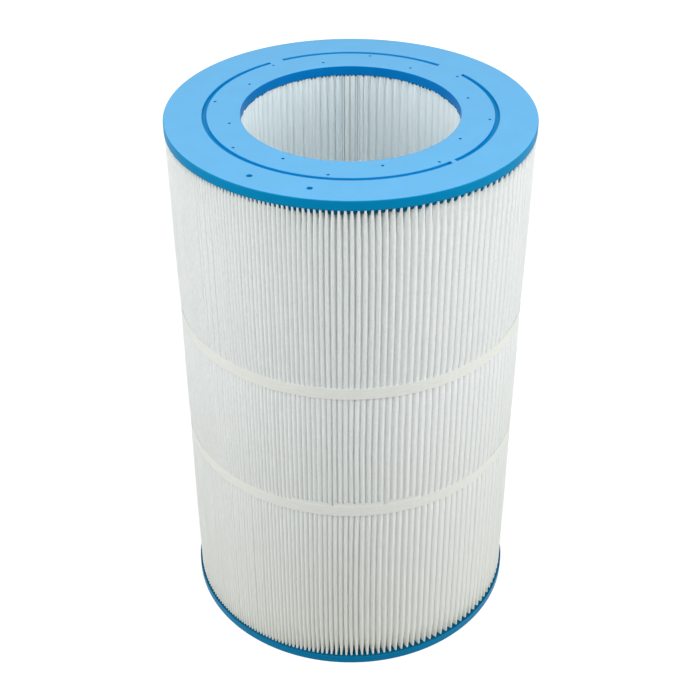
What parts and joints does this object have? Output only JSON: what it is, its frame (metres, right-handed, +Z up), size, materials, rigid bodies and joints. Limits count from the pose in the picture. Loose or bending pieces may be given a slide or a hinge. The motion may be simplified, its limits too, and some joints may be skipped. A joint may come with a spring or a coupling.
{
  "type": "pool filter cartridge",
  "caption": "Pleated pool filter cartridge: a ring of folded white fabric, open through the middle, potted in two blue cast end rings and held by two pale bands.",
  "frame": {"origin": "On the axis, in the plane of the bottom cap's face, which the cartridge stands on.", "axes": "+Z runs up the cartridge's axis to the top cap. The front of the picture faces -Y."},
  "size_m": [0.2556, 0.2556, 0.4096],
  "materials": {
    "cast_urethane": "cast, satin",
    "filter_fabric": "spun-bonded, matt",
    "band_strap": "bonded strap, matt",
    "hot_melt_glue": "set glue, satin"
  },
  "bodies": {
    "root": {"top_end_cap": "cast_urethane", "bottom_end_cap": "cast_urethane", "pleated_media": "filter_fabric", "media_seam": "hot_melt_glue", "upper_band": "band_strap", "lower_band": "band_strap", "upper_band_glue": "hot_melt_glue", "lower_band_glue": "hot_melt_glue"}
  },
  "joints": []
}
